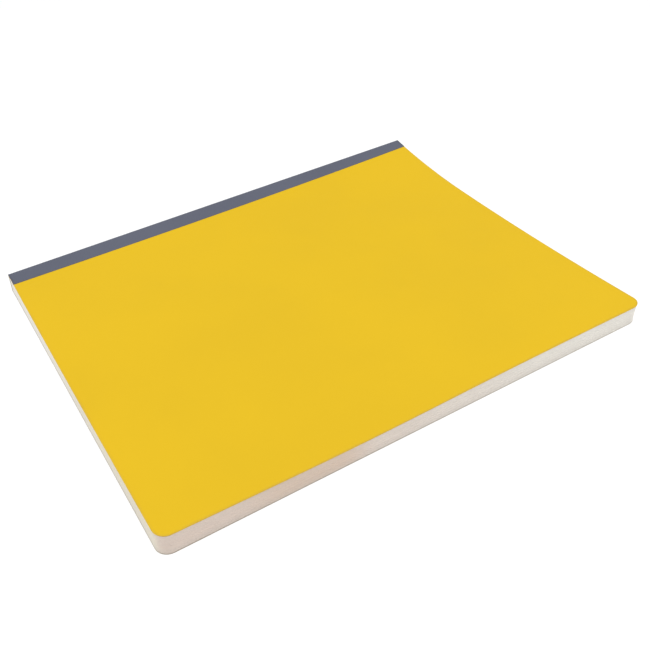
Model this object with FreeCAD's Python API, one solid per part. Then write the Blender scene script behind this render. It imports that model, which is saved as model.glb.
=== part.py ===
"""Soft-cover notebook with a taped spine, lying closed on its back cover.

Frame: +X runs from the spine to the fore-edge, +Y along the spine from the tail to the head, +Z up.
The origin is the middle of the notebook's footprint, on the surface that it lies on. Millimetres.
"""
import FreeCAD, Part
import os
from FreeCAD import Vector

# --- Driving dimensions -------------------------------------------------------------------------
book_width = 203.0        # spine to fore-edge, over the tape
book_height = 254.0       # tail to head
corner_radius = 6.0       # the two fore-edge corners of covers and leaves, cut together
board = 0.5               # cover card
tape_thickness = 0.2      # paper cloth strip round the spine
tape_laps = (10.4, 10.5, 7.9)   # strip's width on each board at the tail, the middle and the head
glue_film = 0.3           # binding adhesive on the spine of the leaves
fold_radius = 0.35        # outside of the strip, where it turns round the spine
spine_height = 10.6       # over both boards at the spine, which the folds and adhesive swell
lean = 0.55               # how far the front cover has slid towards the head over the back cover

# The front cover sags between the swollen spine and the fore-edge. Each section across the notebook
# gives how far along the spine it lies (0 at the tail, 1 at the head), and the height of the cover in
# its valley and at the fore-edge.
sections = (
    (0.00, 9.4, 11.6),
    (0.15, 8.9, 10.5),
    (0.36, 8.1, 9.5),
    (0.62, 7.1, 10.2),
    (1.00, 5.7, 10.3),
)
valley_at = 0.33          # the valley's place, as a share of the way from spine to fore-edge

# --- Clearances ---------------------------------------------------------------------------------
leaf_gap = 0.2            # air between the sagging front cover and the first leaf
tape_seat = 0.05          # adhesive between the strip and the step pressed into each board

# --- Construction values ------------------------------------------------------------------------
overhang = 4.0            # how far surfaces run past the outline before they are trimmed to it
curve_points = 13         # points that each section's curve passes through
spine_x = -book_width / 2.0
fore_x = book_width / 2.0
tail_y = -book_height / 2.0
head_y = book_height / 2.0
board_x = spine_x + tape_thickness            # spine edge of the boards, against the strip
leaf_x = board_x + glue_film                  # spine edge of the leaves
tall = 2.0 * spine_height                     # higher than anything in the notebook


def cover_height(share, valley, fore):
    """Height of the front cover's outside: two parabolas that meet level in the valley."""
    if share < valley_at:
        return valley + (spine_height - valley) * (1.0 - share / valley_at) ** 2
    return valley + (fore - valley) * ((share - valley_at) / (1.0 - valley_at)) ** 2


def section_curve(along, valley, fore):
    """The front cover's outside in one section across the notebook, as a smooth curve."""
    y = tail_y + along * book_height
    run = book_width + 2.0 * overhang
    points = []
    for i in range(curve_points):
        x = spine_x - overhang + run * i / (curve_points - 1)
        points.append(Vector(x, y, cover_height((x - spine_x) / book_width, valley, fore)))
    curve = Part.BSplineCurve()
    curve.interpolate(points)
    return Part.Wire([curve.toShape()])


def end_share(share):
    """Moves the two end sections past the head and the tail, so that the surface can be trimmed."""
    past = overhang / book_height
    return {0.0: -past, 1.0: 1.0 + past}.get(share, share)


def slid(height):
    """How far the notebook's lean carries what lies at a height towards the head."""
    return lean * (height / spine_height - 0.5)


def leaning_prism(edges, bottom, top):
    """The closed plan drawn by `edges` at Z 0, carried from `bottom` to `top` along the lean."""
    face = Part.Face(Part.Wire(edges))
    face.translate(Vector(0, slid(bottom), bottom))
    return face.extrude(Vector(0, slid(top) - slid(bottom), top - bottom))


def outline(x_from, bottom, top):
    """The notebook's plan as a slab: square at the spine side, rounded at the fore-edge."""
    r = corner_radius
    diagonal = r * (1.0 - 0.5 ** 0.5)
    lower_arc = Part.Arc(Vector(fore_x - r, tail_y, 0),
                         Vector(fore_x - diagonal, tail_y + diagonal, 0),
                         Vector(fore_x, tail_y + r, 0))
    upper_arc = Part.Arc(Vector(fore_x, head_y - r, 0),
                         Vector(fore_x - diagonal, head_y - diagonal, 0),
                         Vector(fore_x - r, head_y, 0))
    edges = [
        Part.makeLine(Vector(x_from, tail_y, 0), Vector(fore_x - r, tail_y, 0)),
        lower_arc.toShape(),
        Part.makeLine(Vector(fore_x, tail_y + r, 0), Vector(fore_x, head_y - r, 0)),
        upper_arc.toShape(),
        Part.makeLine(Vector(fore_x - r, head_y, 0), Vector(x_from, head_y, 0)),
        Part.makeLine(Vector(x_from, head_y, 0), Vector(x_from, tail_y, 0)),
    ]
    return leaning_prism(edges, bottom, top)


def block(x_from, x_to, bottom, top):
    """A slab over the notebook's whole height, with straight sides at two places across it."""
    corners = [Vector(x_from, tail_y, 0), Vector(x_to, tail_y, 0),
               Vector(x_to, head_y, 0), Vector(x_from, head_y, 0)]
    edges = [Part.makeLine(corners[i], corners[(i + 1) % 4]) for i in range(4)]
    return leaning_prism(edges, bottom, top)


def strip_slab(x_from, margin, bottom, top):
    """The strip's plan as a slab, `margin` wider than the strip and that much past head and tail."""
    ends = (tail_y - margin, 0.0, head_y + margin)
    through = [Vector(spine_x + lap + margin, y, 0) for lap, y in zip(tape_laps, ends)]
    lap_edge = Part.BSplineCurve()
    lap_edge.interpolate(through)
    start = Vector(x_from, ends[0], 0)
    end = Vector(x_from, ends[2], 0)
    edges = [
        Part.makeLine(start, through[0]),
        lap_edge.toShape(),
        Part.makeLine(through[2], end),
        Part.makeLine(end, start),
    ]
    return leaning_prism(edges, bottom, top)


def lofted_cover():
    """The front cover's outside, lofted through its sections."""
    curves = [section_curve(end_share(along), valley, fore) for along, valley, fore in sections]
    return Part.makeLoft(curves, False)


def layer(surface, drop, thickness):
    """What lies between `drop` and `drop + thickness` under the front cover's outside."""
    face = surface.Faces[0].copy()
    face.translate(Vector(0, 0, -drop))
    return face.extrude(Vector(0, 0, -thickness))


def front_cover(surface):
    """The sagging front board, with the step that takes the strip pressed into its outside."""
    blank = layer(surface, 0.0, board).common(outline(board_x, 0.0, tall))
    step = layer(surface, -tape_seat, tape_thickness + 2.0 * tape_seat)
    return blank.cut(step.common(strip_slab(spine_x - overhang, tape_seat, 0.0, tall)))


def back_cover():
    """The flat back board, with the same step on its outside."""
    step = strip_slab(spine_x - overhang, tape_seat, -board, tape_thickness)
    return outline(board_x, 0.0, board).cut(step)


def page_block(surface):
    """All the leaves as one block, with a flat back and a top that follows the front cover."""
    under = layer(surface, board + leaf_gap, tall)
    return under.common(outline(leaf_x, board, tall))


def spine_glue(surface):
    """The adhesive film that holds the leaves together, over the block's whole spine."""
    under = layer(surface, board + leaf_gap, tall)
    return under.common(block(board_x, leaf_x, board, tall))


def spine_tape(surface):
    """The strip: one sheet from the front board, round the spine and on to the back board."""
    outside = layer(surface, 0.0, tall).common(strip_slab(spine_x, 0.0, 0.0, tall))
    turns = [e for e in outside.Edges
             if e.BoundBox.YLength > 0.9 * book_height and abs(e.CenterOfMass.x - spine_x) < tape_seat]
    outside = outside.makeFillet(fold_radius, turns)
    inside = layer(surface, tape_thickness, tall)
    inside = inside.common(block(board_x, fore_x, tape_thickness, tall))
    return outside.cut(inside)


def write(name, shape):
    """Checks that a piece is one sound solid and writes it to its own file."""
    solid = shape.Solids[0]
    if len(shape.Solids) != 1 or not solid.isValid():
        raise ValueError(name + " is not one sound solid")
    solid.exportStep(os.path.join("parts", name + ".step"))
    box = solid.optimalBoundingBox(False)
    print("%-12s %9.1f mm3  x %.2f..%.2f  y %.2f..%.2f  z %.2f..%.2f" % (
        name, solid.Volume, box.XMin, box.XMax, box.YMin, box.YMax, box.ZMin, box.ZMax))


def main():
    os.makedirs("parts", exist_ok=True)
    surface = lofted_cover()
    write("page_block", page_block(surface))
    write("front_cover", front_cover(surface))
    write("back_cover", back_cover())
    write("spine_glue", spine_glue(surface))
    write("spine_tape", spine_tape(surface))


main()
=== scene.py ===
"""The looks of a soft-cover notebook with a taped spine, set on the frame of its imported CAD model.

Frame: +X runs from the spine to the fore-edge, +Y along the spine from the tail to the head, +Z up.
Every length is in metres, and millimetre values carry the factor MM. A Colour is a display colour,
0 to 255 in each channel. The scale of a noise counts its features in a metre.
"""

import logging
import math
from dataclasses import dataclass, field, fields
from enum import Enum, IntEnum
from functools import cache
from typing import Callable

import bpy
import numpy as np
from mathutils import Matrix, Vector


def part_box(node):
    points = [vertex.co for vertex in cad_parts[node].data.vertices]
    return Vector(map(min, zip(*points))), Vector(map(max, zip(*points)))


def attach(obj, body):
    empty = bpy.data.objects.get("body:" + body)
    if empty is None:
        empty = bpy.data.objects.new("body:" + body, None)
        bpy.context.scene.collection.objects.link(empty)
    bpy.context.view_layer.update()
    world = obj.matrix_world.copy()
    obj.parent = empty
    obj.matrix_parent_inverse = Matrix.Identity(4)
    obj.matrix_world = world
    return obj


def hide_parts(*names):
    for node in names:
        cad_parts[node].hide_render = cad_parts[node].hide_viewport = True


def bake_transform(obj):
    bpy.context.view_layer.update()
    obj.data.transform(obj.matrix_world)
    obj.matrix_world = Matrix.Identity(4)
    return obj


MM = 0.001
SEED = 1450
SHARP_BEND = math.radians(35.0)  # edges bent by more than this stay sharp in the shading
PROBE = 0.5 * MM  # step over which a slope or a direction is measured
WHITE = (1.0, 1.0, 1.0, 1.0)
BLACK = (0.0, 0.0, 0.0, 1.0)
NODES_IN_ROW = 8  # a node tree is laid out in rows
NODE_ROOM = (220.0, 260.0)  # width and height that a node takes there
MIX_FACTOR, MIX_FIRST, MIX_SECOND, MIX_RESULT = 0, 6, 7, 2  # a Mix node's sockets for colours

Array = np.ndarray
Pair = tuple[Array, Array]
Triple = tuple[float, float, float]
Colour = Triple
Socket = bpy.types.NodeSocket
Sockets = bpy.types.bpy_prop_collection
Number = Socket | float
Value = Number | tuple[float, ...]
Layers = tuple[Socket, Socket, Socket]
Tree = bpy.types.NodeTree
Group = Callable[[], Tree]
Materials = dict[str, bpy.types.Material]

log = logging.getLogger("notebook")

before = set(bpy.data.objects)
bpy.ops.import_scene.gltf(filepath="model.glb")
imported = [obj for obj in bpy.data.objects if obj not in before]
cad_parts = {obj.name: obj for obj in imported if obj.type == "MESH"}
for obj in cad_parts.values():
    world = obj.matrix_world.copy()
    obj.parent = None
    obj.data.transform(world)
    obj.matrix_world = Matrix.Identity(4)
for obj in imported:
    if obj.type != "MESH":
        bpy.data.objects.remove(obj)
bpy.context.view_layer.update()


# --- Named choices ---
class Body(Enum):
    """The moving bodies of the notebook."""

    LEAVES = "leaves"
    FRONT = "front"
    BACK = "back"


class Slot(Enum):
    """The record's material slots that the pieces take their finish from."""

    LEAVES = "leaves"
    COVER_CARD = "cover_card"
    SPINE_CLOTH = "spine_cloth"
    ADHESIVE = "adhesive"


class Skin(IntEnum):
    """Order of the materials on a card or a block of leaves."""

    FACE = 0
    CUT = 1
    INSIDE = 2


class Mark(Enum):
    """Names of the attributes and the UV map that the finishes read."""

    RIM = "rim"
    LEAF = "leaf"
    CLOTH = "cloth"


# --- Surfaces ---
@dataclass
class Surface:
    """A closed mesh being made.

    Attributes:
        points: (n, 3) places of the points.
        faces: (m, 4) indices into the points, counter-clockwise from outside.
        bands: (m,) a face's band: 0 on top, 1 and on down the rim, and the highest at the bottom.
    """

    points: Array
    faces: Array
    bands: Array


def joined(*coordinates: Array | float) -> Array:
    """Places whose coordinates are arrays, or numbers, stretched to one shape."""
    return np.stack(np.broadcast_arrays(*coordinates), axis=-1)


def quads(*corners: Array) -> Array:
    """(m, 4) faces from four arrays, each with the index of one corner of every face."""
    return np.stack(corners, axis=-1).reshape(-1, 4)


def crowded(near: tuple[float, ...], count: int) -> Array:
    """Shares that start with the near ones and run evenly from the last of them to 1."""
    return np.concatenate([near[:-1], np.linspace(near[-1], 1.0, count)])


def grid_border(rows: int, columns: int) -> Array:
    """Indices of a grid's border points, counter-clockwise from its first corner."""
    index = np.arange(rows * columns).reshape(rows, columns)
    return np.concatenate([index[0, :-1], index[:-1, -1], index[-1, :0:-1], index[:0:-1, 0]])


def closed_skin(top: Array, loops: Array, bottom: Array) -> Surface:
    """Two grids of one size, joined round their borders by loops of points.

    The top keeps its winding and the bottom is wound the other way. Each rim face joins two
    neighbours on a loop to the same two on the loop under it.

    Args:
        top: (rows, columns, 3) upper grid.
        loops: (k, border, 3) loops between the two borders, from top to bottom. It may be empty.
        bottom: (rows, columns, 3) lower grid.

    Returns:
        The closed surface.
    """
    rows, columns = top.shape[:2]
    index = np.arange(rows * columns).reshape(rows, columns)
    flat = quads(index[:-1, :-1], index[:-1, 1:], index[1:, 1:], index[1:, :-1])
    rim = grid_border(rows, columns)
    between = index.size + np.arange(len(loops) * len(rim)).reshape(len(loops), len(rim))
    last = index.size + between.size
    levels = np.vstack([rim, between, last + rim])
    upper, lower = levels[:-1], levels[1:]
    walls = quads(lower, np.roll(lower, -1, axis=1), np.roll(upper, -1, axis=1), upper)
    sizes = [len(flat), *[len(rim)] * len(lower), len(flat)]
    return Surface(
        points=np.vstack([part.reshape(-1, 3) for part in (top, loops, bottom)]),
        faces=np.vstack([flat, walls, last + flat[:, ::-1]]),
        bands=np.repeat(np.arange(len(sizes)), sizes),
    )


def add_object(name: str, data: bpy.types.ID) -> bpy.types.Object:
    """Links a new object to the scene.

    Args:
        name: the object's name.
        data: its mesh, light or camera.

    Returns:
        The object.
    """
    thing = bpy.data.objects.new(name, data)
    bpy.context.scene.collection.objects.link(thing)
    return thing


def make_piece(
    name: str,
    surface: Surface,
    materials: list[bpy.types.Material],
    skins: Array,
    marks: dict[Mark, Array],
) -> bpy.types.Object:
    """Makes the finished object of a surface.

    Args:
        name: the piece's name.
        surface: its mesh.
        materials: its materials, in the order of Skin.
        skins: (m,) material index of each face.
        marks: values at the points. One number each makes an attribute, two make a UV map.

    Returns:
        The object, linked to the scene, at the origin.
    """
    mesh = bpy.data.meshes.new(name)
    mesh.from_pydata(surface.points.tolist(), [], surface.faces.tolist())
    for material in materials:
        mesh.materials.append(material)
    mesh.polygons.foreach_set("material_index", skins.astype(np.int32))
    mesh.polygons.foreach_set("use_smooth", np.ones(len(surface.faces), bool))
    for mark, values in marks.items():
        if values.ndim == 1:
            layer = mesh.attributes.new(mark.value, "FLOAT", "POINT")
            layer.data.foreach_set("value", values.astype(np.float32))
        else:
            layer = mesh.uv_layers.new(name=mark.value)
            corner = np.empty(len(mesh.loops), np.int32)
            mesh.loops.foreach_get("vertex_index", corner)
            layer.data.foreach_set("uv", values[corner].astype(np.float32).ravel())
    mesh.update()
    mesh.set_sharp_from_angle(angle=SHARP_BEND)
    mesh.validate()
    log.info("%s: %d points, %d faces", name, len(surface.points), len(surface.faces))
    return add_object(name, mesh)


def smooth_step(value: Array) -> Array:
    """Goes from 0 to 1 as the value does, level at both ends: three squares less two cubes."""
    t = np.clip(value, 0.0, 1.0)
    return t * t * (3.0 - 2.0 * t)


def natural_curve(stations: Array, values: Array, at: Array) -> Array:
    """A smooth curve through values at stations, straight at its two ends.

    It is the natural cubic spline: the bends at the stations solve its three-term equations.

    Args:
        stations: increasing places.
        values: the curve's height at each.
        at: places where it is wanted, beyond the ends too, where the end piece carries on.

    Returns:
        Heights at `at`.
    """
    gap = np.diff(stations)
    slope = np.diff(values) / gap
    system = np.eye(len(stations))
    bend = np.zeros(len(stations))
    inner = np.arange(1, len(stations) - 1)
    system[inner, inner - 1] = gap[:-1]
    system[inner, inner] = 2.0 * (gap[:-1] + gap[1:])
    system[inner, inner + 1] = gap[1:]
    bend[inner] = 6.0 * np.diff(slope)
    bend = np.linalg.solve(system, bend)
    part = np.clip(np.searchsorted(stations, at) - 1, 0, len(gap) - 1)
    left, right = at - stations[part], stations[part + 1] - at
    width = gap[part]
    return sum(
        bend[end] * away**3 / (6.0 * width) + (values[end] / width - bend[end] * width / 6.0) * away
        for end, away in ((part, right), (part + 1, left))
    )


# --- The notebook's shared form ---
@dataclass(frozen=True)
class Form:
    """Plan, sag and lean that every piece of the notebook shares.

    Attributes:
        spine, fore: X of the spine and of the fore-edge.
        tail, head: Y of the two ends, halfway up.
        spine_height: height of the front cover's outside at the spine.
        lean: how far the front cover has slid towards the head over the back cover.
        corner: radius of the two fore-edge corners.
        board: thickness of a cover.
        laps: width of the spine strip on each cover at the tail, the middle and the head.
        stations: places of the sections, as shares of the way from tail to head.
        valleys: height of the front cover in each section's valley.
        fores: its height at each section's fore-edge.
        valley_at: the valley's place, as a share of the way from spine to fore-edge.
    """

    spine: float
    fore: float
    tail: float
    head: float
    spine_height: float
    lean: float = 0.55 * MM
    corner: float = 6.0 * MM
    board: float = 0.5 * MM
    laps: Triple = (10.4 * MM, 10.5 * MM, 7.9 * MM)
    stations: tuple[float, ...] = (0.0, 0.15, 0.36, 0.62, 1.0)
    valleys: tuple[float, ...] = (9.4 * MM, 8.9 * MM, 8.1 * MM, 7.1 * MM, 5.7 * MM)
    fores: tuple[float, ...] = (11.6 * MM, 10.5 * MM, 9.5 * MM, 10.2 * MM, 10.3 * MM)
    valley_at: float = 0.33

    @classmethod
    def of_frame(cls) -> "Form":
        """Takes the form's extents from the CAD nodes, less the lean.

        Returns:
            The form.
        """
        tape_low, tape_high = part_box("spine_tape")
        block_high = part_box("page_block")[1]
        return cls(
            spine=tape_low.x,
            fore=block_high.x,
            tail=tape_low.y + 0.5 * cls.lean,
            head=tape_high.y - 0.5 * cls.lean,
            spine_height=tape_high.z,
        )

    def lap(self, y: Array) -> Array:
        """Width of the strip on a cover: the parabola through its three widths along the spine.

        Args:
            y: places along the spine.

        Returns:
            The width at each.
        """
        first, middle, last = self.laps
        t = (2.0 * y - self.tail - self.head) / (self.head - self.tail)
        return middle + 0.5 * (last - first) * t + (0.5 * (first + last) - middle) * t**2

    def leaning(self, surface: Surface) -> Surface:
        """Slides a surface along the spine by the lean, in proportion to height: 0 halfway up.

        Args:
            surface: the surface before the notebook leans.

        Returns:
            A new surface with the same faces.
        """
        slid = surface.points.copy()
        slid[:, 1] += self.lean * (slid[:, 2] / self.spine_height - 0.5)
        return Surface(slid, surface.faces, surface.bands)

    def sag(self, x: Array, y: Array) -> Array:
        """Height of the front cover's outside.

        Across the notebook it is two parabolas that meet level in the valley: the valley's height
        plus what the spine or the fore-edge stands over it, times the square of the share of the
        way there. Along the spine the valley and the fore-edge follow natural cubic splines.

        Args:
            x, y: places in the plan.

        Returns:
            Heights, of the shape that x and y make together.
        """
        along = (y - self.tail) / (self.head - self.tail)
        across = (x - self.spine) / (self.fore - self.spine)
        stations = np.array(self.stations)
        valley = natural_curve(stations, np.array(self.valleys), along)
        fore = natural_curve(stations, np.array(self.fores), along)
        to_spine = 1.0 - across / self.valley_at
        to_fore = (across - self.valley_at) / (1.0 - self.valley_at)
        return np.where(
            across < self.valley_at,
            valley + (self.spine_height - valley) * to_spine**2,
            valley + (fore - valley) * to_fore**2,
        )


@dataclass(frozen=True)
class PlanGrid:
    """Rows and columns that fill the notebook's plan, with the fore-edge corners rounded.

    A row keeps one Y. In a corner the rows step evenly round its arc.

    Attributes:
        form: the notebook's form.
        start: X of the first column.
        arc_rows: rows in each rounded corner.
        body_rows: rows between the corners.
        near: distances from an edge at which extra columns lie, so that edge darkening can hug it.
        body_columns: evenly spaced columns over the rest of the width.
    """

    form: Form
    start: float
    arc_rows: int = 12
    body_rows: int = 84
    near: tuple[float, ...] = (0.0, 0.3 * MM, 0.8 * MM, 1.6 * MM, 3.0 * MM)
    body_columns: int = 64

    def place(self, inset: float = 0.0) -> Pair:
        """X and Y of the grid's points, with the outline drawn in.

        In a corner, at the angle a round its arc of radius r, the row lies r(1 - cos a) from the
        end and stops r(1 - sin a) short of the fore-edge.

        Args:
            inset: how far every edge of the outline is drawn in.

        Returns:
            Two (rows, columns) arrays.
        """
        form = self.form
        near = np.array(self.near) / (form.fore - self.start)
        body = np.linspace(near[-1], 1.0 - near[-1], self.body_columns)
        shares = np.concatenate([near[:-1], body, 1.0 - near[-2::-1]])
        radius = form.corner - inset
        angle = np.linspace(0.0, math.pi / 2.0, self.arc_rows + 1)[:-1]
        rise = radius * (1.0 - np.cos(angle))
        short = radius * (1.0 - np.sin(angle))
        straight = np.linspace(form.tail + form.corner, form.head - form.corner, self.body_rows)
        y = np.concatenate([form.tail + inset + rise, straight, form.head - inset - rise[::-1]])
        stop = form.fore - inset - np.concatenate([short, 0.0 * straight, short[::-1]])
        first = self.start + inset
        x = first + shares * (stop - first)[:, None]
        return x, np.broadcast_to(y[:, None], x.shape)

    def border(self, inset: float) -> Pair:
        """X and Y of the border points alone, with the outline drawn in.

        Args:
            inset: how far every edge of the outline is drawn in.

        Returns:
            Two (border,) arrays, counter-clockwise from the first corner.
        """
        x, y = self.place(inset)
        rim = grid_border(*x.shape)
        return x.ravel()[rim], y.ravel()[rim]

    def nearness(self, reach: float) -> Array:
        """How near each grid point is to the outline: 1 on it, falling smoothly to 0.

        A point's gap is the distance to the nearest straight edge. In a rounded corner it is the
        corner's radius less the distance from its centre.

        Args:
            reach: gap at which the nearness is 0.

        Returns:
            (rows, columns) values.
        """
        x, y = self.place()
        form = self.form
        r = form.corner
        gap = np.minimum.reduce([form.fore - x, x - self.start, y - form.tail, form.head - y])
        over_x = x - (form.fore - r)
        over_y = np.maximum(form.tail + r - y, y - (form.head - r))
        in_corner = (over_x > 0.0) & (over_y > 0.0)
        gap = np.where(in_corner, r - np.hypot(over_x, over_y), gap)
        return 1.0 - smooth_step(gap / reach)


# --- Shading ---
def in_metres(**lengths: float) -> dict[str, float]:
    """Lengths by name, given in millimetres, in metres."""
    return {name: MM * length for name, length in lengths.items()}


def paint(colour: Colour, share: float = 1.0) -> tuple[float, float, float, float]:
    """A share of a display colour, as the linear colour that shaders take.

    Near black it is the shown value over 12.92, and above that a power of 2.4.

    Args:
        colour: the display colour.
        share: how much of it is wanted, 1 being the colour itself.

    Returns:
        Red, green, blue and full opacity.
    """
    shown = share * np.array(colour) / 255.0
    linear = np.where(shown <= 0.04045, shown / 12.92, ((shown + 0.055) / 1.055) ** 2.4)
    return (*linear.tolist(), 1.0)


class Wiring:
    """A node tree being written: adds nodes, sets their sockets and joins them."""

    def __init__(self, tree: Tree) -> None:
        """Starts on a tree, emptied."""
        tree.nodes.clear()
        self.tree = tree

    def add(
        self, kind: str, settings: dict[str, object] | None = None, **sockets: Value
    ) -> bpy.types.Node:
        """Adds a node.

        Args:
            kind: the node's type, without the "ShaderNode" in front unless it is a group's own.
            settings: properties of the node.
            **sockets: inputs by name, with spaces as underscores. A socket is joined, and any other
                value is set.

        Returns:
            The node.
        """
        row, column = divmod(len(self.tree.nodes), NODES_IN_ROW)
        node = self.tree.nodes.new(kind if kind.startswith("Node") else "ShaderNode" + kind)
        node.location = (NODE_ROOM[0] * column, -NODE_ROOM[1] * row)
        for key, value in (settings or {}).items():
            setattr(node, key, value)
        for key, value in sockets.items():
            self.feed(node.inputs[key.replace("_", " ")], value)
        return node

    def feed(self, target: Socket, value: Value) -> None:
        """Gives an input what it takes.

        Args:
            target: the input.
            value: a socket to join to it, or a value to set.
        """
        if isinstance(value, Socket):
            self.tree.links.new(value, target)
        else:
            target.default_value = value

    def math(
        self, operation: str, first: Number, second: Number = 0.0, clamp: bool = False
    ) -> Socket:
        """Adds a Math node.

        Args:
            operation: Blender's name of what it does.
            first, second: the sockets or numbers that it works on.
            clamp: True to keep its result within 0 to 1.

        Returns:
            The result.
        """
        node = self.add("Math", {"operation": operation, "use_clamp": clamp})
        self.feed(node.inputs[0], first)
        self.feed(node.inputs[1], second)
        return node.outputs[0]

    def times(self, first: Number, second: Number, clamp: bool = False) -> Socket:
        """The product of two sockets or numbers."""
        return self.math("MULTIPLY", first, second, clamp)

    def plus(self, first: Number, second: Number, clamp: bool = False) -> Socket:
        """The sum of two sockets or numbers."""
        return self.math("ADD", first, second, clamp)

    def blend(self, factor: Number, first: Value, second: Value) -> Socket:
        """Mixes two colours.

        Args:
            factor: the share of the second colour, 0 to 1.
            first, second: the colours, as sockets or values.

        Returns:
            The mixed colour.
        """
        node = self.add("Mix", {"data_type": "RGBA"})
        for place, value in ((MIX_FACTOR, factor), (MIX_FIRST, first), (MIX_SECOND, second)):
            self.feed(node.inputs[place], value)
        return node.outputs[MIX_RESULT]

    def spread(self, value: Number, low: float, high: float) -> Socket:
        """Stretches a value of 0 to 1 over low to high."""
        return self.add("MapRange", Value=value, To_Min=low, To_Max=high).outputs[0]

    def ramp(self, value: Number, low: Number, high: Number) -> Socket:
        """Goes smoothly from 0 to 1 as a value goes from low to high."""
        smooth = {"interpolation_type": "SMOOTHSTEP"}
        return self.add("MapRange", smooth, Value=value, From_Min=low, From_Max=high).outputs[0]

    def noise(self, place: Socket, scale: Number, detail: float, roughness: float = 0.5) -> Socket:
        """The plain value of a Noise Texture."""
        sockets = {"Vector": place, "Scale": scale, "Detail": detail, "Roughness": roughness}
        return self.add("TexNoise", **sockets).outputs[0]


def open_group(
    name: str, outputs: tuple[str, ...], **numbers: float
) -> tuple[Wiring, Sockets, Sockets]:
    """Opens a shared node group, whose first input is the place that it is looked up at.

    Args:
        name: the group's name.
        outputs: names of its outputs, all numbers.
        **numbers: its other inputs, with spaces as underscores, and their defaults.

    Returns:
        Its wiring, what it is given by name, and the inputs of its output node by name.
    """
    tree = bpy.data.node_groups.new(name, "ShaderNodeTree")
    w = Wiring(tree)
    tree.interface.new_socket("Place", in_out="INPUT", socket_type="NodeSocketVector")
    kind = "NodeSocketFloat"
    for label, value in numbers.items():
        label = label.replace("_", " ")
        tree.interface.new_socket(label, in_out="INPUT", socket_type=kind).default_value = value
    for label in outputs:
        tree.interface.new_socket(label, in_out="OUTPUT", socket_type=kind)
    return w, w.add("NodeGroupInput").outputs, w.add("NodeGroupOutput").inputs


@cache
def tooth_group() -> Tree:
    """Makes Tooth: paper tooth, as a height and as a fleck of tone.

    The height is the sum of a fine noise and a finer one, each with its share. The fleck is their
    product, so that it shows where both are high.

    Returns:
        The node group, made once.
    """
    finer = 3.7
    fine_share, finer_share = 0.65, 0.35
    w, given, out = open_group("Tooth", ("Height", "Fleck"), Scale=1500.0)
    fine = w.noise(given["Place"], given["Scale"], detail=3.0, roughness=0.6)
    finest = w.noise(given["Place"], w.times(given["Scale"], finer), detail=2.0)
    w.feed(out["Height"], w.plus(w.times(fine, fine_share), w.times(finest, finer_share)))
    w.feed(out["Fleck"], w.spread(w.times(fine, finest), low=-0.6, high=2.6))
    return w.tree


@cache
def handling_group() -> Tree:
    """Makes Handling: broad soft clouds where hands have been, as a mask of 0 to 1.

    Returns:
        The node group, made once.
    """
    w, given, out = open_group("Handling", ("Mask",), Scale=22.0)
    cloud = w.noise(given["Place"], given["Scale"], detail=4.0, roughness=0.55)
    w.feed(out["Mask"], w.ramp(cloud, low=0.32, high=0.72))
    return w.tree


@cache
def shade_patch_group() -> Tree:
    """Makes Painted_Shade_Patch: where colour is darkened as painted shade, as a mask of 0 to 1.

    Along each axis a share goes smoothly from the place where the painted shade is gone to the one
    where it is full, and the mask is the product of both shares. With its defaults it covers the
    fore-edge, most of all near the tail.

    Returns:
        The node group, made once.
    """
    fore_edge = in_metres(Full_Y=-120.0, Gone_Y=110.0, Gone_X=95.0, Full_X=100.5)
    w, given, out = open_group("Painted_Shade_Patch", ("Mask",), **fore_edge)
    place = w.add("SeparateXYZ", Vector=given["Place"]).outputs
    shares = [
        w.ramp(place[axis], given["Gone " + axis], given["Full " + axis]) for axis in "XY"
    ]
    w.feed(out["Mask"], w.times(*shares))
    return w.tree


@cache
def edge_darkening_group() -> Tree:
    """Makes Edge_Darkening: darker edges, as a mask of 0 to 1.

    On the printed card it is painted shade along the edge. It is the nearness to the edge times the
    sum of a fine noise, in its share, and a broad one, so that the darkening breaks up and comes in
    patches.

    Returns:
        The node group, made once.
    """
    broken_share = 0.8
    w, given, out = open_group("Edge_Darkening", ("Mask",), Nearness=0.0, Amount=0.5)
    broken = w.noise(given["Place"], scale=900.0, detail=5.0, roughness=0.65)
    patchy = w.noise(given["Place"], scale=60.0, detail=2.0)
    reach = w.times(given["Nearness"], w.plus(w.times(broken, broken_share), patchy))
    w.feed(out["Mask"], w.times(w.ramp(reach, low=0.45, high=1.05), given["Amount"], clamp=True))
    return w.tree


class Coat(Wiring):
    """The node tree of a new material, with what all the finishes look up in it."""

    def __init__(self, name: str) -> None:
        """Makes the material and starts on its tree, emptied, with its Object coordinates.

        Args:
            name: the material's name.
        """
        self.material = bpy.data.materials.new(name)
        self.material.use_nodes = True
        super().__init__(self.material.node_tree)
        self.place = self.add("TexCoord").outputs["Object"]

    def shaded(self, **sockets: Value) -> bpy.types.Material:
        """Ends the tree with a Principled shader.

        Args:
            **sockets: the shader's inputs by name, with spaces as underscores.

        Returns:
            The material.
        """
        shader = self.add("BsdfPrincipled", **sockets)
        self.add("OutputMaterial", Surface=shader.outputs[0])
        return self.material

    def mark(self, mark: Mark) -> Socket:
        """The value of one of the piece's attributes."""
        return self.add("Attribute", {"attribute_name": mark.value}).outputs["Fac"]

    def effect(self, group: Group, **sockets: Value) -> Sockets:
        """Places a shared node group with its own values, and gives its outputs by name."""
        return self.add("Group", {"node_tree": group()}, Place=self.place, **sockets).outputs

    def mask(self, group: Group, **sockets: Value) -> Socket:
        """The mask that a shared node group gives with its own values."""
        return self.effect(group, **sockets)["Mask"]

    def grained(self, scale: Triple) -> Socket:
        """A noise of its own scale along each axis, so that it is drawn out along one."""
        drawn = self.add("Mapping", Vector=self.place, Scale=scale).outputs[0]
        return self.noise(drawn, scale=1.0, detail=3.0, roughness=0.6)


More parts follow.
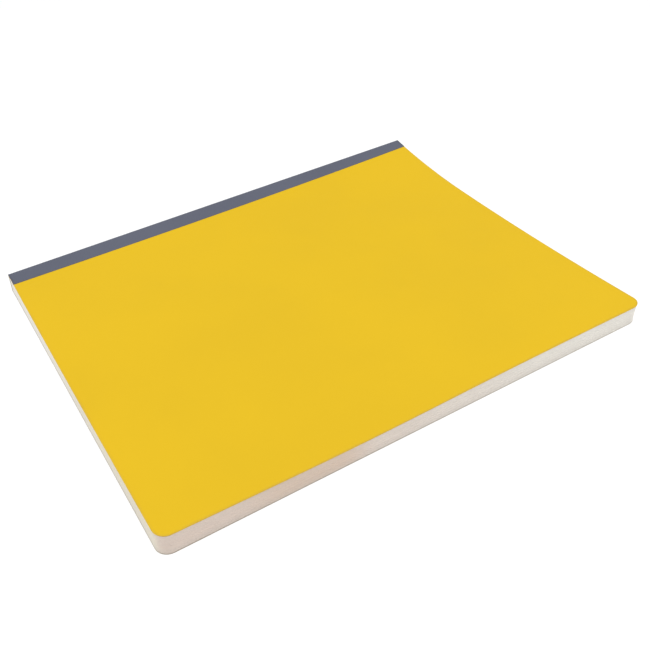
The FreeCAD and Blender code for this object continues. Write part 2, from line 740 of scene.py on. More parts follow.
@dataclass(frozen=True)
class Finish:
    """What all the notebook's finishes share.

    Attributes:
        name: the material's name.
        colour: its main colour.
        roughness: middle of its roughness.
        specular: how strongly it shines, 0.5 being plain plastic.
        tooth: scale of its paper tooth.
        clouds: scale of the clouds that handling has left.
        relief: depth of its relief.
        handled: share of the colour that is left where hands have been.
        flecks: most that shows of the tooth's flecks, 0 to 1.
        flecked: share of the colour that a fleck has.
        uneven: what comes on top of the roughness at 0 and at 1 of the value that it follows.
    """

    name: str
    colour: Colour
    roughness: float
    specular: float
    tooth: float = 1500.0
    clouds: float = 18.0
    relief: float = 0.02 * MM
    handled: float = 0.97
    flecks: float = 0.16
    flecked: float = 0.93
    uneven: tuple[float, float] = (0.03, -0.03)

    def coat(self, w: Coat) -> Layers:
        """Writes what sets the finish apart.

        Args:
            w: the new material's wiring.

        Returns:
            Its colour, its roughness and the height of its relief.
        """
        raise NotImplementedError

    def clouded(self, w: Coat, hands: Socket) -> Socket:
        """The main colour, with the clouds that handling has left."""
        return w.blend(hands, paint(self.colour), paint(self.colour, self.handled))

    def with_flecks(self, w: Coat, fleck: Socket, under: Socket) -> Socket:
        """A colour, with the flecks of the paper tooth over it."""
        return w.blend(w.spread(fleck, 0.0, self.flecks), under, paint(self.colour, self.flecked))

    def rough(self, w: Coat, value: Socket) -> Socket:
        """The roughness, which follows a value of 0 to 1."""
        return w.spread(value, *(self.roughness + more for more in self.uneven))

    def make(self) -> bpy.types.Material:
        """Builds the material: the finish's own coat on a Principled shader.

        Returns:
            The material.
        """
        w = Coat(self.name)
        colour, rough, height = self.coat(w)
        bump = w.add("Bump", Height=height, Distance=self.relief, Strength=1.0).outputs[0]
        shine = self.specular
        return w.shaded(Base_Color=colour, Roughness=rough, Specular_IOR_Level=shine, Normal=bump)


@dataclass(frozen=True)
class PrintedCard(Finish):
    """The printed outside of a cover: matt ink over card, a little soiled along its edges.

    Attributes:
        edge_shade: painted shade colour along the edges, dimming the rounded rim's highlight.
        edge_darkened: how much of it shows, 0 to 1.
        edge_rough: what the darkened edge adds to the roughness.
    """

    tooth: float = 1700.0
    clouds: float = 14.0
    handled: float = 0.985
    edge_shade: Colour = (206.0, 172.0, 70.0)
    edge_darkened: float = 0.4
    edge_rough: float = 0.15

    def coat(self, w: Coat) -> Layers:
        """Writes tone clouds, paper tooth and painted shade along the edges.

        Args:
            w: the new material's wiring.

        Returns:
            Its colour, its roughness and the height of its relief.
        """
        tooth = w.effect(tooth_group, Scale=self.tooth)
        hands = w.mask(handling_group, Scale=self.clouds)
        # Painted shade: the card darkens towards its edges, dimming the rounded rim's highlight.
        edge_dark = w.mask(edge_darkening_group, Nearness=w.mark(Mark.RIM), Amount=self.edge_darkened)
        ink = self.with_flecks(w, tooth["Fleck"], self.clouded(w, hands))
        colour = w.blend(edge_dark, ink, paint(self.edge_shade))
        rough = w.plus(self.rough(w, hands), w.times(edge_dark, self.edge_rough), clamp=True)
        return colour, rough, tooth["Height"]


@dataclass(frozen=True)
class CutCard(Finish):
    """The cut edge of a cover: layered core with a trace of the ink's colour.

    Attributes:
        layers: scale of the card's layers along each axis.
        layer_tint: colour that the layers take in patches, the ink's trace by default.
        layer_tinted: most of it that shows, 0 to 1.
        toned: painted shade colour of the core on the fore-edge, towards the tail.
    """

    tooth: float = 2600.0
    flecks: float = 0.2
    flecked: float = 0.86
    uneven: tuple[float, float] = (0.0, 0.12)
    layers: Triple = (120.0, 120.0, 9000.0)
    layer_tint: Colour = (222.0, 188.0, 96.0)
    layer_tinted: float = 0.35
    toned: Colour = (224.0, 186.0, 74.0)

    def coat(self, w: Coat) -> Layers:
        """Writes fine layers along Z, tinted in patches, with painted shade towards the tail.

        Args:
            w: the new material's wiring.

        Returns:
            Its colour, its roughness and the height of its relief.
        """
        layers = w.grained(self.layers)
        tooth = w.effect(tooth_group, Scale=self.tooth)
        # Painted shade: the core is darker on the fore-edge towards the tail.
        core = w.blend(w.mask(shade_patch_group), paint(self.colour), paint(self.toned))
        core = w.blend(w.spread(layers, 0.0, self.layer_tinted), core, paint(self.layer_tint))
        colour = self.with_flecks(w, tooth["Fleck"], core)
        return colour, self.rough(w, layers), w.plus(layers, tooth["Height"])


@dataclass(frozen=True)
class LeafFace(Finish):
    """The face of a leaf, and the lining of a cover: uncoated paper with short fibres.

    Attributes:
        cloudy: how strongly the clouds show, 0 to 1.
        fibres: scale of the fibres along each axis.
        fibrous: most that shows of them, 0 to 1.
        fibre_tone: share of the colour that a fibre has.
    """

    relief: float = 0.01 * MM
    uneven: tuple[float, float] = (-0.04, 0.05)
    cloudy: float = 0.5
    fibres: Triple = (2200.0, 420.0, 2200.0)
    fibrous: float = 0.2
    fibre_tone: float = 0.95

    def coat(self, w: Coat) -> Layers:
        """Writes fibres along Y, paper tooth and soft clouds.

        Args:
            w: the new material's wiring.

        Returns:
            Its colour, its roughness and the height of its relief.
        """
        fibres = w.grained(self.fibres)
        tooth = w.effect(tooth_group, Scale=self.tooth)
        hands = w.mask(handling_group, Scale=self.clouds)
        toned = self.clouded(w, w.times(hands, self.cloudy))
        shown = w.spread(fibres, 0.0, self.fibrous)
        colour = w.blend(shown, toned, paint(self.colour, self.fibre_tone))
        return colour, self.rough(w, tooth["Fleck"]), w.plus(tooth["Height"], fibres)


@dataclass(frozen=True)
class LeafEdges(Finish):
    """The trimmed edges of the leaves: many thin lines that follow the leaves round the block.

    Attributes:
        cloudy: how strongly the clouds show, 0 to 1.
        leaves: how many leaves the block holds.
        along: scale of the lines round the block.
        grouped: scale of the slower lines, against that of single leaves.
        line_dark: how far the lines of single leaves darken the edges, at 0 and at 1 of them.
        group_dark: the same of the slower lines.
        lined: share of the toned colour that the darkest lines have.
        toned: painted shade colour, darker and warmer, on the fore-edge towards the tail.
        patch_shade: painted shade colour of a darker patch on the fore-edge, near the tail.
        tail_shade: painted shade colour along the tail, towards the fore-edge corner.
        bottom_shade: share of the colour left under the painted shade near the bottom.
        bottom_shade_from: level, 0 at the top to 1, below which painted shade darkens the leaves.
        bottom_shaded: how much of it the lowest leaves take, 0 to 1.
    """

    clouds: float = 30.0
    relief: float = 0.03 * MM
    handled: float = 0.9
    uneven: tuple[float, float] = (-0.05, 0.06)
    cloudy: float = 0.1
    leaves: float = 96.0
    along: float = 26.0
    grouped: float = 0.13
    line_dark: tuple[float, float] = (-0.12, 0.28)
    group_dark: tuple[float, float] = (-0.08, 0.14)
    lined: float = 0.82
    toned: Colour = (238.0, 222.0, 210.0)
    patch_shade: Colour = (234.5, 215.0, 198.0)
    tail_shade: Colour = (239.5, 233.5, 217.5)
    bottom_shade: float = 0.88
    bottom_shade_from: float = 0.7
    bottom_shaded: float = 0.3

    def lines(self, w: Coat, level: Socket) -> tuple[Socket, Socket]:
        """Writes noises that are fine through the leaves and long round the block.

        Args:
            w: the new material's wiring.
            level: the place from top, 0, to bottom, 1.

        Returns:
            The lines of single leaves, and the slower ones of leaves that lie together.
        """
        place = w.add("SeparateXYZ", Vector=w.place).outputs
        along = {axis: w.times(place[axis], self.along) for axis in "XY"}
        drawn = w.add("CombineXYZ", **along, Z=w.times(level, self.leaves)).outputs[0]
        single = w.noise(drawn, scale=1.0, detail=3.0, roughness=0.7)
        return single, w.noise(drawn, scale=self.grouped, detail=2.0)

    def painted_shade(self, w: Coat) -> Socket:
        """Writes the leaves' colour with painted shade along the tail and the fore-edge.

        The middle patch is the painted shade mask up to its near end less the mask past its far end.

        Args:
            w: the new material's wiring.

        Returns:
            The colour.
        """
        # Painted shade: the fore-edge and the tail side are darker towards their shared corner.
        tail_side = in_metres(Full_Y=-126.0, Gone_Y=-121.0, Gone_X=-70.0, Full_X=60.0)
        tail = w.mask(shade_patch_group, **tail_side)
        up_to_patch = w.mask(shade_patch_group, **in_metres(Full_Y=-46.0, Gone_Y=-26.0))
        past_patch = w.mask(shade_patch_group, **in_metres(Full_Y=-100.0, Gone_Y=-68.0))
        middle_patch = w.math("SUBTRACT", up_to_patch, past_patch, clamp=True)
        tone = w.blend(tail, paint(self.colour), paint(self.tail_shade))
        tone = w.blend(w.mask(shade_patch_group), tone, paint(self.toned))
        return w.blend(middle_patch, tone, paint(self.patch_shade))

    def coat(self, w: Coat) -> Layers:
        """Writes the leaves' lines over painted shade, deeper near the bottom, and soft clouds.

        Args:
            w: the new material's wiring.

        Returns:
            Its colour, its roughness and the height of its relief.
        """
        level = w.mark(Mark.LEAF)
        lines, groups = self.lines(w, level)
        # Painted shade: the lowest leaves are darkened towards the bottom.
        reach = {"Value": level, "From_Min": self.bottom_shade_from, "To_Max": self.bottom_shaded}
        low = w.add("MapRange", **reach).outputs[0]
        tone = w.blend(low, self.painted_shade(w), paint(self.colour, self.bottom_shade))
        single, group = w.spread(lines, *self.line_dark), w.spread(groups, *self.group_dark)
        tone = w.blend(w.plus(single, group, clamp=True), tone, paint(self.toned, self.lined))
        hands = w.times(w.mask(handling_group, Scale=self.clouds), self.cloudy)
        colour = w.blend(hands, tone, paint(self.toned, self.handled))
        return colour, self.rough(w, lines), w.plus(lines, groups)


@dataclass(frozen=True)
class BookCloth(Finish):
    """The paper cloth of the spine strip: a close plain weave, soiled where it turns and is cut.

    Attributes:
        thread: distance from one thread to the next.
        drifts: scale of the noise that nudges the threads.
        drift: most that it nudges them either way, as an angle.
        gaps: most that shows of the dark between the threads, 0 to 1.
        gap_tone: share of the colour that it has.
        edge_darkened: how much darker the turn and the cut edges are, 0 to 1.
        edge_tone: share of the colour where they are darkest.
        tooth_share: how much of the tooth's height lies over the weave's.
    """

    tooth: float = 2400.0
    clouds: float = 26.0
    relief: float = 0.05 * MM
    flecks: float = 0.12
    flecked: float = 1.18
    uneven: tuple[float, float] = (0.1, -0.04)
    thread: float = 0.42 * MM
    drifts: float = 260.0
    drift: float = 0.8
    gaps: float = 0.34
    gap_tone: float = 0.72
    edge_darkened: float = 0.6
    edge_tone: float = 0.7
    tooth_share: float = 0.4

    def weave(self, w: Coat) -> Socket:
        """Writes the weave's height.

        It is the product of a sine across the strip and a sine along it, so that a thread of each
        direction lies on top in turn. Both sines are nudged by a noise.

        Args:
            w: the new material's wiring.

        Returns:
            The height, 0.5 to 1.
        """
        cloth = w.add("UVMap", {"uv_map": Mark.CLOTH.value}).outputs[0]
        place = w.add("SeparateXYZ", Vector=cloth).outputs
        drift = w.spread(w.noise(cloth, self.drifts, detail=2.0), -self.drift, self.drift)
        turn = math.pi / self.thread
        waves = [w.math("SINE", w.plus(w.times(place[axis], turn), drift)) for axis in "XY"]
        return w.spread(w.times(*waves), low=0.5, high=1.0)

    def coat(self, w: Coat) -> Layers:
        """Writes the weave, dark between its threads, with flecks, clouds and darker edges.

        Args:
            w: the new material's wiring.

        Returns:
            Its colour, its roughness and the height of its relief.
        """
        weave = self.weave(w)
        edge_dark = w.mask(edge_darkening_group, Nearness=w.mark(Mark.RIM), Amount=self.edge_darkened)
        tooth = w.effect(tooth_group, Scale=self.tooth)
        dyed = self.clouded(w, w.mask(handling_group, Scale=self.clouds))
        dyed = w.blend(w.spread(weave, self.gaps, 0.0), dyed, paint(self.colour, self.gap_tone))
        dyed = self.with_flecks(w, tooth["Fleck"], dyed)
        colour = w.blend(edge_dark, dyed, paint(self.colour, self.edge_tone))
        height = w.plus(weave, w.times(tooth["Height"], self.tooth_share))
        return colour, self.rough(w, weave), height


@dataclass(frozen=True)
class DriedGlue(Finish):
    """The adhesive along the spine of the leaves: slightly glossy and uneven.

    Attributes:
        lumps: scale of its lumps.
    """

    clouds: float = 60.0
    relief: float = 0.08 * MM
    handled: float = 0.9
    uneven: tuple[float, float] = (-0.15, 0.15)
    lumps: float = 700.0

    def coat(self, w: Coat) -> Layers:
        """Writes soft lumps and a cloudy tone.

        Args:
            w: the new material's wiring.

        Returns:
            Its colour, its roughness and the height of its relief.
        """
        lumps = w.noise(w.place, self.lumps, detail=3.0, roughness=0.55)
        colour = self.clouded(w, w.mask(handling_group, Scale=self.clouds))
        return colour, self.rough(w, lumps), lumps


@dataclass(frozen=True)
class Palette:
    """The notebook's finishes, each with its name, colour, roughness, specular and differences.

    Attributes:
        card: the outside of both covers.
        front_cut: the front cover's cut edge.
        back_cut: the back cover's, grey and dark as painted contact shade.
        lining: the inside of both covers.
        leaf: the face of the first and of the last leaf.
        leaf_edges: the trimmed edges of all the leaves.
        cloth: the strip round the spine.
        glue: the adhesive on the spine of the leaves.
    """

    card: Finish = PrintedCard("Yellow_Card", (238.5, 196.0, 33.0), 0.62, 0.13)
    front_cut: Finish = CutCard("Front_Cut_Edge", (228.0, 190.0, 74.0), 0.8, 0.15)
    # Painted shade: this cut edge is grey and dark, as contact shade along the bottom.
    back_cut: Finish = CutCard(
        "Back_Cut_Edge_Painted_Shade",
        (199.0, 194.0, 184.0),
        0.8,
        0.15,
        layer_tint=(170.0, 160.0, 134.0),
        toned=(170.0, 158.0, 144.0),
    )
    lining: Finish = LeafFace("Cover_Lining", (242.0, 238.0, 228.0), 0.75, 0.22)
    leaf: Finish = LeafFace("Leaf_Paper", (247.0, 241.0, 226.0), 0.82, 0.2)
    leaf_edges: Finish = LeafEdges("Leaf_Edges", (246.0, 243.0, 235.0), 0.85, 0.12)
    cloth: Finish = BookCloth("Slate_Book_Cloth", (103.0, 107.0, 122.0), 0.68, 0.2)
    glue: Finish = DriedGlue("Dried_Glue", (226.0, 218.0, 196.0), 0.45, 0.45)

    def make(self) -> Materials:
        """Makes each finish once, under the name that it has here."""
        return {each.name: getattr(self, each.name).make() for each in fields(self)}


# --- Pieces ---
@dataclass
class Cover:
    """One cover card: printed outside, cut edge all round and plain lining.

    Attributes:
        form: the notebook's form.
        is_front: True for the sagging front cover, False for the flat back cover.
        name: the piece's name.
        node: the CAD node that it stands for.
        body: the body that it rides on.
        clear_of_turn: room left at the spine for the strip's turn.
        soften: radius that the cut edge is worn to.
        rim_reach: how far in from the edge the painted edge shade may reach.
        strip_seat: how far the strip is pressed into the back.
        seat_slope: how wide the step round that seat is.
        turn: angles in degrees at which the worn edge has its loops.
    """

    form: Form
    is_front: bool
    name: str
    node: str
    body: Body
    clear_of_turn: float = 0.45 * MM
    soften: float = 0.1 * MM
    rim_reach: float = 2.2 * MM
    strip_seat: float = 0.19 * MM
    seat_slope: float = 0.4 * MM
    turn: tuple[float, ...] = (30.0, 60.0, 90.0)

    def outside(self, x: Array, y: Array) -> Array:
        """Height of the outside: the sag in front, and the floor plane with its seat behind.

        Args:
            x, y: places in the plan.

        Returns:
            Heights, of the shape that x and y make together.
        """
        if self.is_front:
            return self.form.sag(x, y)
        past_strip = x - self.form.spine - self.form.lap(y)
        return self.strip_seat * (1.0 - smooth_step(past_strip / self.seat_slope))

    def inside(self, x: Array, y: Array) -> Array:
        """Height of the inside: one card's thickness under the front, or over the floor plane.

        Args:
            x, y: places in the plan.

        Returns:
            Heights, of the shape that x and y make together.
        """
        if self.is_front:
            return self.form.sag(x, y) - self.form.board
        return self.form.board + 0.0 * (x + y)

    def surface(self) -> tuple[Surface, Array, Array]:
        """The card's mesh.

        Both faces are drawn in by the worn radius. Between them, loops turn a quarter circle out,
        run straight down the cut, and turn a quarter circle back.

        Returns:
            The surface, the skin of each face, and each point's nearness to the outline.
        """
        plan = PlanGrid(self.form, self.form.spine + self.clear_of_turn)
        x, y = plan.place(self.soften)
        heights = (self.outside, self.inside)
        upper, lower = heights if self.is_front else heights[::-1]
        turn = np.radians(self.turn)
        loops = []
        for height, down, angles in ((upper, -1.0, turn), (lower, 1.0, turn[::-1])):
            for angle in angles:
                rim = plan.border(self.soften * (1.0 - math.sin(angle)))
                drop = down * self.soften * (1.0 - math.cos(angle))
                loops.append(joined(*rim, height(*rim) + drop))
        skin = closed_skin(joined(x, y, upper(x, y)), np.array(loops), joined(x, y, lower(x, y)))
        surface = self.form.leaning(skin)
        near = plan.nearness(self.rim_reach).ravel()
        rim = np.concatenate([near, np.ones(len(surface.points) - 2 * near.size), near])
        last = surface.bands.max()
        # The print reaches over the first two bands of the worn edge.
        printed = (0, 1, 2) if self.is_front else (last, last - 1, last - 2)
        lining = last if self.is_front else 0
        skins = np.full(len(surface.faces), Skin.CUT)
        skins[np.isin(surface.bands, printed)] = Skin.FACE
        skins[surface.bands == lining] = Skin.INSIDE
        return surface, skins, rim

    def build(self, materials: Materials) -> None:
        """Makes the piece and sets it on its body.

        Args:
            materials: the palette's materials.
        """
        surface, skins, rim = self.surface()
        cut = materials["front_cut" if self.is_front else "back_cut"]
        dressed = [materials["card"], cut, materials["lining"]]
        piece = make_piece(self.name, surface, dressed, skins, {Mark.RIM: rim})
        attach(piece, self.body.value)
        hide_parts(self.node)


@dataclass
class Leaves:
    """All the leaves as one block whose trimmed edges show the single leaves.

    Attributes:
        form: the notebook's form.
        loops: loops of points down the block's sides.
        under_cover: air between the front cover and the first leaf.
        glue_side: X of the block's spine side, from the spine.
        draw_in: how far the outline stays behind the covers' edges.
        stray: most that a leaf's edge stands back from its neighbours.
        gatherings: how many gatherings the leaves are folded in.
        drift: half of the most that a gathering stands back, as a share of `stray`.
        drift_start: where the gatherings' drift starts, as an angle.
        wave: height of the slow waves along each leaf's edge.
        waves: how many of them are added up.
        turns: least and most of a wave's angle in a metre round the block.
        climb: least and most of its angle from top to bottom.
        columns: evenly spaced columns over the leaves' faces.
        first_column: where the first of them lies, from the edge.
    """

    form: Form
    loops: int = 118
    under_cover: float = 0.15 * MM
    glue_side: float = 0.5 * MM
    draw_in: float = 0.12 * MM
    stray: float = 0.10 * MM
    gatherings: float = 5.5
    drift: float = 0.2
    drift_start: float = 0.7
    wave: float = 0.035 * MM
    waves: int = 6
    turns: tuple[float, float] = (8.0, 60.0)
    climb: tuple[float, float] = (2.0, 18.0)
    columns: int = 48
    first_column: float = 2.0 * MM

    def edge_relief(self, around: Array, levels: Array) -> Array:
        """How far each loop's points stand back from the outline.

        A random step for each leaf, a slower drift from one gathering to the next, and a sum of
        cosines that run slowly round the block.

        Args:
            around: (border,) distance round the block.
            levels: (k,) the loop's place from top, 0, to bottom, 1.

        Returns:
            (k, border) distances.
        """
        rng = np.random.default_rng(SEED)
        whole = 2.0 * math.pi
        step = rng.uniform(0.0, self.stray, len(levels))
        gathering = whole * self.gatherings * levels + self.drift_start
        drift = self.drift * self.stray * (1.0 + np.cos(gathering))
        turns, climb, start = (
            rng.uniform(low, high, (self.waves, 1, 1))
            for low, high in (self.turns, self.climb, (0.0, whole))
        )
        angle = turns * around + climb * levels[:, None] + start
        return (step + drift)[:, None] + self.wave * (1.0 + np.cos(angle).mean(axis=0))

    def surface(self) -> tuple[Surface, Array, Array]:
        """The block's mesh.

        Its faces are the leaves' plan at the heights of the first and the last leaf. Between them
        each loop is the outline at its share of the way down, drawn in by its relief along the way
        that a point of the outline moves as the outline is drawn in.

        Returns:
            The surface, the skin of each face, and each point's level from top, 0, to bottom, 1.
        """
        form = self.form
        start = form.spine + self.glue_side
        near = (0.0, self.first_column)
        plan = PlanGrid(form, start, body_columns=self.columns, near=near)

        def high(x: Array, y: Array) -> Array:
            """Height of the first leaf."""
            return form.sag(x, y) - form.board - self.under_cover

        x, y = plan.place(self.draw_in)
        levels = np.linspace(0.0, 1.0, self.loops + 2)[1:-1]
        outer = joined(*plan.border(0.0))
        inward = (joined(*plan.border(PROBE)) - outer) / PROBE
        sides = np.linalg.norm(np.roll(outer, -1, axis=0) - outer, axis=1)
        around = np.concatenate([[0.0], np.cumsum(sides)[:-1]])
        back = self.draw_in + self.edge_relief(around, levels)
        rim = outer + back[..., None] * inward
        top = high(*outer.T)
        z = top + (form.board - top) * levels[:, None]
        loops = np.dstack([rim, z])
        skin = closed_skin(joined(x, y, high(x, y)), loops, joined(x, y, form.board))
        surface = form.leaning(skin)
        flat = np.zeros(x.size)
        leaf = np.concatenate([flat, np.repeat(levels, len(outer)), flat + 1.0])
        skins = np.full(len(surface.faces), Skin.CUT)
        skins[np.isin(surface.bands, (0, surface.bands.max()))] = Skin.FACE
        return surface, skins, leaf

    def build(self, materials: Materials) -> None:
        """Makes the piece and sets it on its body.

        Args:
            materials: the palette's materials.
        """
        surface, skins, leaf = self.surface()
        dressed = [materials["leaf"], materials["leaf_edges"]]
        piece = make_piece("leaves_block", surface, dressed, skins, {Mark.LEAF: leaf})
        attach(piece, Body.LEAVES.value)
        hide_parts("page_block")


@dataclass
class SpineStrip:
    """The cloth strip round the spine, in two halves that meet in the middle of the spine.

    Attributes:
        form: the notebook's form.
        thickness: of the cloth.
        turn: outside radius where it turns from the spine on to a cover.
        proud: how much of its thickness stands over the front cover.
        rows: points along the spine.
        arc_steps: steps round the turn.
        near_cut: shares of the lap's width at which points lie close together, from its cut edge.
        lap_points: evenly spaced points over the rest of the lap.
        near_turn: shares of the way from the turn to the middle of the spine at which points lie
            close together.
        spine_points: evenly spaced points over the rest of the way.
        cut_reach, turn_reach, end_reach: how far the darkening reaches from the lap's cut edge,
        from the turn, and from the strip's two ends.
        still, going: not used.
    """

    form: Form
    thickness: float = 0.2 * MM
    turn: float = 0.35 * MM
    proud: float = 0.12 * MM
    rows: int = 97
    arc_steps: int = 10
    near_cut: tuple[float, ...] = (0.0, 0.02, 0.06, 0.12)
    lap_points: int = 12
    near_turn: tuple[float, ...] = (0.06, 0.12, 0.2, 0.3, 0.45)
    spine_points: int = 6
    cut_reach: float = 0.9 * MM
    turn_reach: float = 0.8 * MM
    end_reach: float = 2.0 * MM
    still: float = 0.9 * MM
    going: float = 0.8 * MM

    def half(self, is_front: bool) -> tuple[Surface, Array, Array]:
        """One half's mesh, as a section carried along the spine.

        The section's outside runs in from the lap's end over the cover, turns an arc that starts
        square to the cover and ends on the spine's plane, and runs down to the spine's middle. Its
        inside lies one thickness further in. The back half is worked out upside down. The nearness
        falls smoothly from the lap's cut edge and from the strip's ends, and as a bell curve either
        way from the turn, and the largest of the three counts.

        Args:
            is_front: True for the half on the front cover.

        Returns:
            The surface, each point's nearness to a turn or a cut edge, and its place in the cloth.
        """
        form = self.form
        side = 1.0 if is_front else -1.0
        y = np.linspace(form.tail, form.head, self.rows)[:, None]
        lap_end = form.spine + form.lap(y)

        def lie(x: Array) -> Array:
            """Height of the strip's outside on its cover."""
            return form.sag(x, y) + self.proud if is_front else 0.0 * (x + y)

        lean = np.arctan((lie(form.spine + 2.0 * PROBE) - lie(form.spine + PROBE)) / PROBE)
        centre_x = form.spine + self.turn
        meet_x = centre_x - self.turn * np.sin(lean)
        centre_z = lie(meet_x) - self.turn * np.cos(lean)
        share = crowded(self.near_cut, self.lap_points)
        flat_x = lap_end + (meet_x - lap_end) * share
        arc = lean + (math.pi / 2.0 - lean) * np.linspace(0.0, 1.0, self.arc_steps + 1)[1:]
        down = crowded(self.near_turn, self.spine_points)
        spine_z = centre_z + (0.5 * side * form.spine_height - centre_z) * down

        def section(inset: float) -> Pair:
            """The section's points.

            Args:
                inset: how far they lie in from the outside.

            Returns:
                X and Z, with a row for each place along the spine.
            """
            turned = self.turn - inset
            spine_x = np.full_like(spine_z, form.spine + inset)
            return (
                np.hstack([flat_x, centre_x - turned * np.sin(arc), spine_x]),
                np.hstack([lie(flat_x) - inset, centre_z + turned * np.cos(arc), spine_z]),
            )

        x, z = section(0.0)
        inner_x, inner_z = section(self.thickness)
        grids = [joined(inner_x, y, side * inner_z), joined(x, y, side * z)]
        no_loops = np.empty((0, 2 * sum(x.shape) - 4, 3))
        surface = form.leaning(closed_skin(grids[not is_front], no_loops, grids[is_front]))
        run = np.hypot(np.diff(x, axis=1), np.diff(z, axis=1))
        across = np.hstack([0.0 * y, np.cumsum(run, axis=1)])
        across = across - across[:, -1:]
        cloth = joined(across, y).reshape(-1, 2)
        turn_middle = across[:, [share.size + self.arc_steps // 2]]
        cut = 1.0 - smooth_step((lap_end - x) / self.cut_reach)
        bent = np.exp(-(((across - turn_middle) / self.turn_reach) ** 2))
        ends = 1.0 - smooth_step(np.minimum(y - form.tail, form.head - y) / self.end_reach)
        near = np.maximum(np.maximum(cut, bent), ends).ravel()
        return surface, np.tile(near, 2), np.tile(cloth, (2, 1))

    def build(self, materials: Materials) -> None:
        """Makes both halves.

        Args:
            materials: the palette's materials.
        """
        for is_front, name, cover, edge, inward in (
            (True, "strip_front", Body.FRONT, self.form.spine_height, -1.0),
            (False, "strip_back", Body.BACK, 0.0, 1.0),
        ):
            surface, near, cloth = self.half(is_front)
            skins = np.zeros(len(surface.faces), int)
            marks = {Mark.RIM: near, Mark.CLOTH: cloth}
            piece = make_piece(name, surface, [materials["cloth"]], skins, marks)
            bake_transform(piece)
            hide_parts("spine_tape")


@dataclass
class GlueFilm:
    """The adhesive on the spine of the leaves, which stays the CAD node and is dressed here.

    Attributes:
        node: the CAD node.
    """

    node: str = "spine_glue"

    def dress(self, materials: Materials) -> None:
        """Gives the node its finish.

        Args:
            materials: the palette's materials.
        """
        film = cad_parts[self.node]
        film.data.materials.clear()
        film.data.materials.append(materials["glue"])
        log.info("%s: dressed", self.node)


# --- Studio ---
@dataclass(frozen=True)
class Lamp:
    """A soft square lamp of white light.

    Attributes:
        name: its name.
        place: where it hangs.
        aim: what it points at.
        size: its side.
        power: in watts.
    """

    name: str
    place: Triple
    aim: Triple
    size: float
    power: float

    def hang(self) -> None:
        """Puts the lamp into the scene."""
        light = bpy.data.lights.new(self.name, "AREA")
        light.shape = "SQUARE"
        light.size = self.size
        light.energy = self.power
        lamp = add_object(self.name, light)
        lamp.location = self.place
        direction = Vector(self.aim) - Vector(self.place)
        lamp.rotation_mode = "QUATERNION"
        lamp.rotation_quaternion = direction.to_track_quat("-Z", "Y")


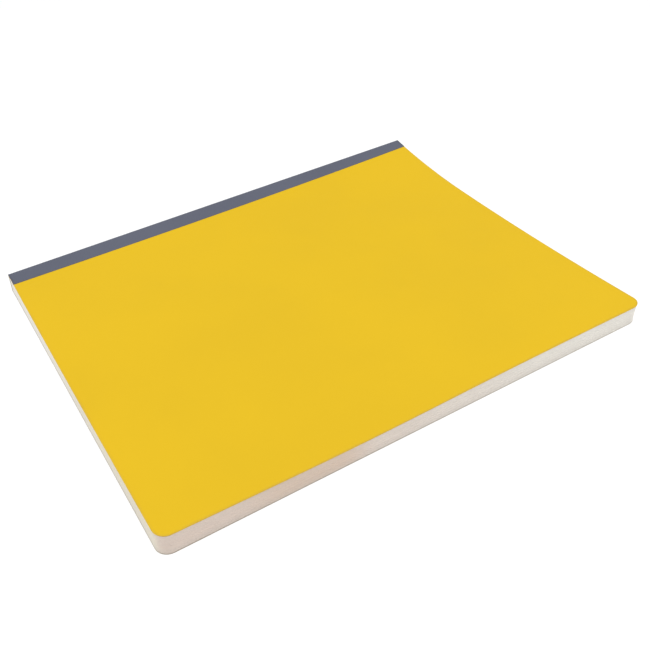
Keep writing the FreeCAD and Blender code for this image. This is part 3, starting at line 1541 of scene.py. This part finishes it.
@dataclass
class Studio:
    """Pale floor, white surroundings, soft lamps and the camera.

    Attributes:
        floor_side: side of the square floor.
        floor_drop: how far the floor lies under the notebook.
        shadow_reach: distances from the middle between which the floor that is looked at gives up
            taking shadow.
        floor_light: grey of the floor as a light.
        floor_seen: its grey where it is looked at near the middle.
        floor_mottle: grey of its mottle.
        mottle_scale: scale of the mottle.
        mottled: most that shows of it, 0 to 1.
        floor_rough: roughness of the floor.
        floor_glow: how strongly the floor that is looked at shines by itself, near the middle and
            away from it.
        surround: strength of the white surroundings as light.
        camera_place: where the camera stands.
        azimuth: the way that the camera looks round, in degrees. At 0 it looks along +Y.
        elevation: how far it looks down, in degrees.
        roll: how far it is rolled, in degrees.
        lens: focal length in millimetres on a sensor as wide as `sensor`.
        sensor: width of the sensor in millimetres.
        shift: how far the picture is moved across the lens's axis, in widths.
        clip: the nearest and the farthest that the camera sees.
        lamps: the lamps.
    """

    floor_side: float = 30.0
    floor_drop: float = 0.03 * MM
    shadow_reach: tuple[float, float] = (0.22, 0.6)
    floor_light: float = 0.78
    floor_seen: float = 0.3
    floor_mottle: float = 0.7
    mottle_scale: float = 6.0
    mottled: float = 0.02
    floor_rough: float = 0.9
    floor_glow: tuple[float, float] = (0.8, 1.0)
    surround: float = 0.55
    camera_place: Triple = (0.29712, -0.16369, 0.27031)
    azimuth: float = 61.618
    elevation: float = 40.676
    roll: float = 3.751
    lens: float = 46.52
    sensor: float = 36.0
    shift: tuple[float, float] = (0.0285, 0.0165)
    clip: tuple[float, float] = (0.01, 100.0)
    lamps: tuple[Lamp, ...] = (
        Lamp("Key", (0.25, 0.35, 1.3), (0.0, 0.0, 0.0), 1.2, 5.5),
        Lamp("Head_Side", (1.0, 0.9, 0.55), (0.1, 0.1, 0.0), 0.7, 4.4),
        Lamp("Tail_Side", (-0.25, -1.2, 0.7), (0.0, 0.0, 0.0), 0.8, 6.1),
    )

    @staticmethod
    def looked_at(w: Wiring) -> Socket:
        """Tells what is looked at, straight, in a gloss or through glass, from other light.

        Args:
            w: the wiring of a material or of the world.

        Returns:
            1 for what is looked at, and 0 for other light.
        """
        path = w.add("LightPath").outputs
        seen = w.math("MAXIMUM", path["Is Camera Ray"], path["Is Glossy Ray"])
        return w.math("MAXIMUM", seen, path["Is Transmission Ray"])

    def light(self) -> None:
        """Hangs the lamps and makes the surroundings white, which is seen as plain white."""
        for lamp in self.lamps:
            lamp.hang()
        world = bpy.data.worlds.new("Surroundings")
        bpy.context.scene.world = world
        world.use_nodes = True
        w = Wiring(world.node_tree)
        strength = w.spread(self.looked_at(w), self.surround, 1.0)
        back = w.add("Background", Color=WHITE, Strength=strength)
        w.add("OutputWorld", Surface=back.outputs[0])

    def sheet(self) -> bpy.types.Material:
        """The floor's material: seen as white, and darker only where shadow falls near the middle.

        What is looked at shines nearly white by itself, and takes shadow on what it adds to that.
        As a light on the notebook it is a plain pale sheet.

        Returns:
            The material.
        """
        w = Coat("Pale_Floor")
        seen = self.looked_at(w)
        far = w.add("VectorMath", {"operation": "LENGTH"})
        w.feed(far.inputs[0], w.place)
        away = w.ramp(far.outputs["Value"], *self.shadow_reach)
        greys = (self.floor_light, self.floor_seen, self.floor_mottle)
        light, near, mottle = ((grey, grey, grey, 1.0) for grey in greys)
        colour = w.blend(seen, light, w.blend(away, near, BLACK))
        cloud = w.noise(w.place, self.mottle_scale, detail=3.0)
        colour = w.blend(w.spread(cloud, 0.0, self.mottled), colour, mottle)
        return w.shaded(
            Base_Color=colour,
            Roughness=self.floor_rough,
            Specular_IOR_Level=0.0,
            Emission_Color=WHITE,
            Emission_Strength=w.times(seen, w.spread(away, *self.floor_glow)),
        )

    def floor(self) -> None:
        """Lays the floor: one square sheet just under the notebook."""
        half = 0.5 * self.floor_side
        corners = [(-half, -half), (half, -half), (half, half), (-half, half)]
        mesh = bpy.data.meshes.new("Floor")
        mesh.from_pydata([(x, y, -self.floor_drop) for x, y in corners], [], [(0, 1, 2, 3)])
        mesh.materials.append(self.sheet())
        add_object("Floor", mesh)

    def camera(self) -> None:
        """Sets up the camera: looking down, it turns to its azimuth, lifts and rolls."""
        data = bpy.data.cameras.new("Camera")
        data.sensor_width = self.sensor
        data.lens = self.lens
        data.shift_x, data.shift_y = self.shift
        data.clip_start, data.clip_end = self.clip
        camera = add_object("Camera", data)
        camera.matrix_world = Matrix.Translation(Vector(self.camera_place))
        turns = ((self.azimuth, "Z"), (90.0 - self.elevation, "X"), (-self.roll, "Z"))
        for angle, axis in turns:
            camera.matrix_world @= Matrix.Rotation(math.radians(angle), 4, axis)
        bpy.context.scene.camera = camera

    def build(self) -> None:
        """Makes the whole studio."""
        self.light()
        self.floor()
        self.camera()
        bpy.context.scene.view_settings.view_transform = "Standard"
        log.info("studio: %d lamps, floor and camera", len(self.lamps))


# --- The notebook ---
@dataclass
class Notebook:
    """The whole notebook: leaves, two covers, the strip round the spine and the glue under it.

    Attributes:
        form: the form that its pieces share.
        palette: their finishes.
    """

    form: Form
    palette: Palette = field(default_factory=Palette)

    def build(self) -> None:
        """Builds every piece in order."""
        materials = self.palette.make()
        Leaves(self.form).build(materials)
        Cover(self.form, True, "cover_front", "front_cover", Body.FRONT).build(materials)
        Cover(self.form, False, "cover_back", "back_cover", Body.BACK).build(materials)
        SpineStrip(self.form).build(materials)
        GlueFilm().dress(materials)


def main() -> None:
    """Builds the notebook and its studio."""
    logging.basicConfig(level=logging.INFO, format="%(name)s: %(message)s")
    Notebook(Form.of_frame()).build()
    Studio().build()


if __name__ == "__main__":
    main()
